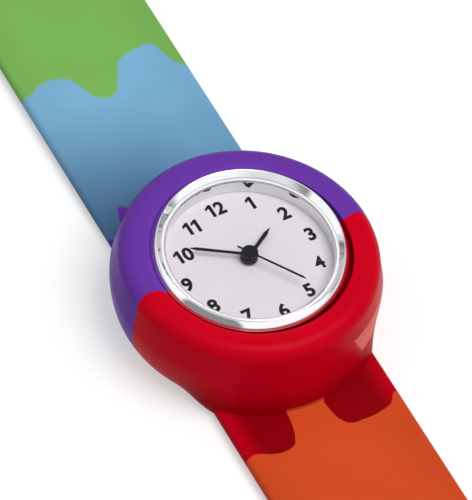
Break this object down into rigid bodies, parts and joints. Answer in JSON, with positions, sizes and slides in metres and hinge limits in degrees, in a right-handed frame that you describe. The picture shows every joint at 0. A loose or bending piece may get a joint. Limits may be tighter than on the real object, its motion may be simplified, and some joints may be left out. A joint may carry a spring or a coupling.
{
  "type": "slap watch",
  "caption": "Round quartz watch capsule in a multicoloured silicone slap band that curls round the wrist.",
  "frame": {"origin": "on the dial axis, on the surface that the opened-out band lies on", "axes": "+Y along the band to 12 o'clock, +X to 3 o'clock, +Z out of the dial"},
  "size_m": [0.0418, 0.23, 0.0162],
  "materials": {
    "silicone_purple": "matt moulded silicone",
    "silicone_red": "matt moulded silicone",
    "silicone_blue": "matt moulded silicone",
    "silicone_green": "matt moulded silicone",
    "silicone_orange": "matt moulded silicone",
    "spring_steel": "rolled spring steel",
    "polished_case": "polished and plated",
    "crystal": "clear polished",
    "clear_gasket": "moulded nylon",
    "dial_white": "lacquered",
    "spacer_plastic": "moulded acetal",
    "plate_brass": "stamped",
    "coil_wire": "enamelled wire winding",
    "stator_iron": "stamped soft iron",
    "cell_steel": "brushed",
    "gasket_rubber": "moulded",
    "hand_black": "gloss black paint",
    "wheel_brass": "cut brass",
    "rotor_magnet": "sintered magnet"
  },
  "bodies": {
    "band": {"silicone_purple": "silicone_purple", "silicone_red": "silicone_red", "silicone_blue_root": "silicone_blue", "spring_strip_centre": "spring_steel"},
    "upper_1": {"upper_blue_1": "silicone_blue", "upper_strip_1": "spring_steel"},
    "upper_2": {"upper_blue_2": "silicone_blue", "upper_green_2": "silicone_green", "upper_strip_2": "spring_steel"},
    "upper_3": {"upper_green_3": "silicone_green", "upper_strip_3": "spring_steel"},
    "upper_4": {"upper_green_4": "silicone_green", "upper_strip_4": "spring_steel"},
    "upper_5": {"upper_green_5": "silicone_green", "upper_strip_5": "spring_steel"},
    "upper_6": {"upper_green_6": "silicone_green", "upper_strip_6": "spring_steel"},
    "lower_1": {"lower_red_1": "silicone_red", "lower_orange_1": "silicone_orange", "lower_strip_1": "spring_steel"},
    "lower_2": {"lower_orange_2": "silicone_orange", "lower_strip_2": "spring_steel"},
    "lower_3": {"lower_orange_3": "silicone_orange", "lower_strip_3": "spring_steel"},
    "lower_4": {"lower_orange_4": "silicone_orange", "lower_strip_4": "spring_steel"},
    "lower_5": {"lower_orange_5": "silicone_orange", "lower_strip_5": "spring_steel"},
    "lower_6": {"lower_orange_6": "silicone_orange", "lower_strip_6": "spring_steel"},
    "capsule": {"case": "polished_case", "crystal": "crystal", "crystal_gasket": "clear_gasket", "dial": "dial_white", "movement_ring": "spacer_plastic", "movement_plate": "plate_brass", "train_bridge": "plate_brass", "coil": "coil_wire", "stator": "stator_iron", "battery": "cell_steel", "case_back": "cell_steel", "back_gasket": "gasket_rubber"},
    "seconds": {"second_hand": "hand_black", "fourth_wheel": "wheel_brass"},
    "minutes": {"minute_hand": "hand_black", "centre_wheel": "wheel_brass"},
    "hours": {"hour_hand": "hand_black", "hour_wheel": "wheel_brass"},
    "third": {"third_wheel": "wheel_brass"},
    "fifth": {"fifth_wheel": "wheel_brass"},
    "rotor_arbor": {"rotor": "rotor_magnet"},
    "minute_arbor": {"minute_wheel": "wheel_brass"},
    "stem": {"stem": "cell_steel"},
    "crown": {"crown": "polished_case"}
  },
  "joints": [
    {"name": "upper_bend_1", "type": "hinge", "parent": "band", "child": "upper_1", "pos_m": [0, 0.0226, 0], "axis": [-1, 0, 0], "range_deg": [0, 44]},
    {"name": "upper_bend_2", "type": "hinge", "parent": "upper_1", "child": "upper_2", "pos_m": [0, 0.038, 0], "axis": [-1, 0, 0], "range_deg": [0, 36]},
    {"name": "upper_bend_3", "type": "hinge", "parent": "upper_2", "child": "upper_3", "pos_m": [0, 0.0534, 0], "axis": [-1, 0, 0], "range_deg": [0, 36]},
    {"name": "upper_bend_4", "type": "hinge", "parent": "upper_3", "child": "upper_4", "pos_m": [0, 0.0688, 0], "axis": [-1, 0, 0], "range_deg": [0, 34]},
    {"name": "upper_bend_5", "type": "hinge", "parent": "upper_4", "child": "upper_5", "pos_m": [0, 0.0842, 0], "axis": [-1, 0, 0], "range_deg": [0, 20]},
    {"name": "upper_bend_6", "type": "hinge", "parent": "upper_5", "child": "upper_6", "pos_m": [0, 0.0996, 0], "axis": [-1, 0, 0], "range_deg": [0, 20]},
    {"name": "lower_bend_1", "type": "hinge", "parent": "band", "child": "lower_1", "pos_m": [0, -0.0226, 0], "axis": [1, 0, 0], "range_deg": [0, 52]},
    {"name": "lower_bend_2", "type": "hinge", "parent": "lower_1", "child": "lower_2", "pos_m": [0, -0.038, 0], "axis": [1, 0, 0], "range_deg": [0, 38]},
    {"name": "lower_bend_3", "type": "hinge", "parent": "lower_2", "child": "lower_3", "pos_m": [0, -0.0534, 0], "axis": [1, 0, 0], "range_deg": [0, 42]},
    {"name": "lower_bend_4", "type": "hinge", "parent": "lower_3", "child": "lower_4", "pos_m": [0, -0.0688, 0], "axis": [1, 0, 0], "range_deg": [0, 36]},
    {"name": "lower_bend_5", "type": "hinge", "parent": "lower_4", "child": "lower_5", "pos_m": [0, -0.0842, 0], "axis": [1, 0, 0], "range_deg": [0, 20]},
    {"name": "lower_bend_6", "type": "hinge", "parent": "lower_5", "child": "lower_6", "pos_m": [0, -0.0996, 0], "axis": [1, 0, 0], "range_deg": [0, 18]},
    {"name": "capsule_lift", "type": "slide", "parent": "band", "child": "capsule", "axis": [0, 0, 1], "range_m": [0, 0.012]},
    {"name": "second_turn", "type": "hinge", "parent": "capsule", "child": "seconds", "pos_m": [0, 0, 0.009], "axis": [0, 0, -1], "continuous": true},
    {"name": "minute_turn", "type": "hinge", "parent": "capsule", "child": "minutes", "pos_m": [0, 0, 0.009], "axis": [0, 0, -1], "continuous": true},
    {"name": "hour_turn", "type": "hinge", "parent": "capsule", "child": "hours", "pos_m": [0, 0, 0.009], "axis": [0, 0, -1], "continuous": true},
    {"name": "third_turn", "type": "hinge", "parent": "capsule", "child": "third", "pos_m": [0, 0.00288, 0.009], "axis": [0, 0, -1], "continuous": true},
    {"name": "fifth_turn", "type": "hinge", "parent": "capsule", "child": "fifth", "pos_m": [0.00144, -0.00249, 0.009], "axis": [0, 0, -1], "continuous": true},
    {"name": "rotor_turn", "type": "hinge", "parent": "capsule", "child": "rotor_arbor", "pos_m": [0.00259, -0.00449, 0.009], "axis": [0, 0, -1], "continuous": true},
    {"name": "motion_turn", "type": "hinge", "parent": "capsule", "child": "minute_arbor", "pos_m": [0.0025, 0, 0.009], "axis": [0, 0, -1], "continuous": true},
    {"name": "crown_pull", "type": "slide", "parent": "capsule", "child": "stem", "axis": [1, 0, 0], "range_m": [0, 0.0008]},
    {"name": "crown_turn", "type": "hinge", "parent": "stem", "child": "crown", "pos_m": [0.0139, 0, 0.00932], "axis": [1, 0, 0], "continuous": true}
  ],
  "couplings": [
    {"joint": "upper_bend_2", "follows": "upper_bend_1", "ratio": 0.8181},
    {"joint": "upper_bend_3", "follows": "upper_bend_1", "ratio": 0.8181},
    {"joint": "upper_bend_4", "follows": "upper_bend_1", "ratio": 0.7727},
    {"joint": "upper_bend_5", "follows": "upper_bend_1", "ratio": 0.4545},
    {"joint": "upper_bend_6", "follows": "upper_bend_1", "ratio": 0.4545},
    {"joint": "lower_bend_2", "follows": "lower_bend_1", "ratio": 0.7307},
    {"joint": "lower_bend_3", "follows": "lower_bend_1", "ratio": 0.8076},
    {"joint": "lower_bend_4", "follows": "lower_bend_1", "ratio": 0.6923},
    {"joint": "lower_bend_5", "follows": "lower_bend_1", "ratio": 0.3846},
    {"joint": "lower_bend_6", "follows": "lower_bend_1", "ratio": 0.3461},
    {"joint": "minute_turn", "follows": "second_turn", "ratio": 0.016667},
    {"joint": "hour_turn", "follows": "second_turn", "ratio": 0.0013889},
    {"joint": "third_turn", "follows": "second_turn", "ratio": -0.13333},
    {"joint": "fifth_turn", "follows": "second_turn", "ratio": -5},
    {"joint": "rotor_turn", "follows": "second_turn", "ratio": 30},
    {"joint": "motion_turn", "follows": "second_turn", "ratio": -0.0055556}
  ]
}
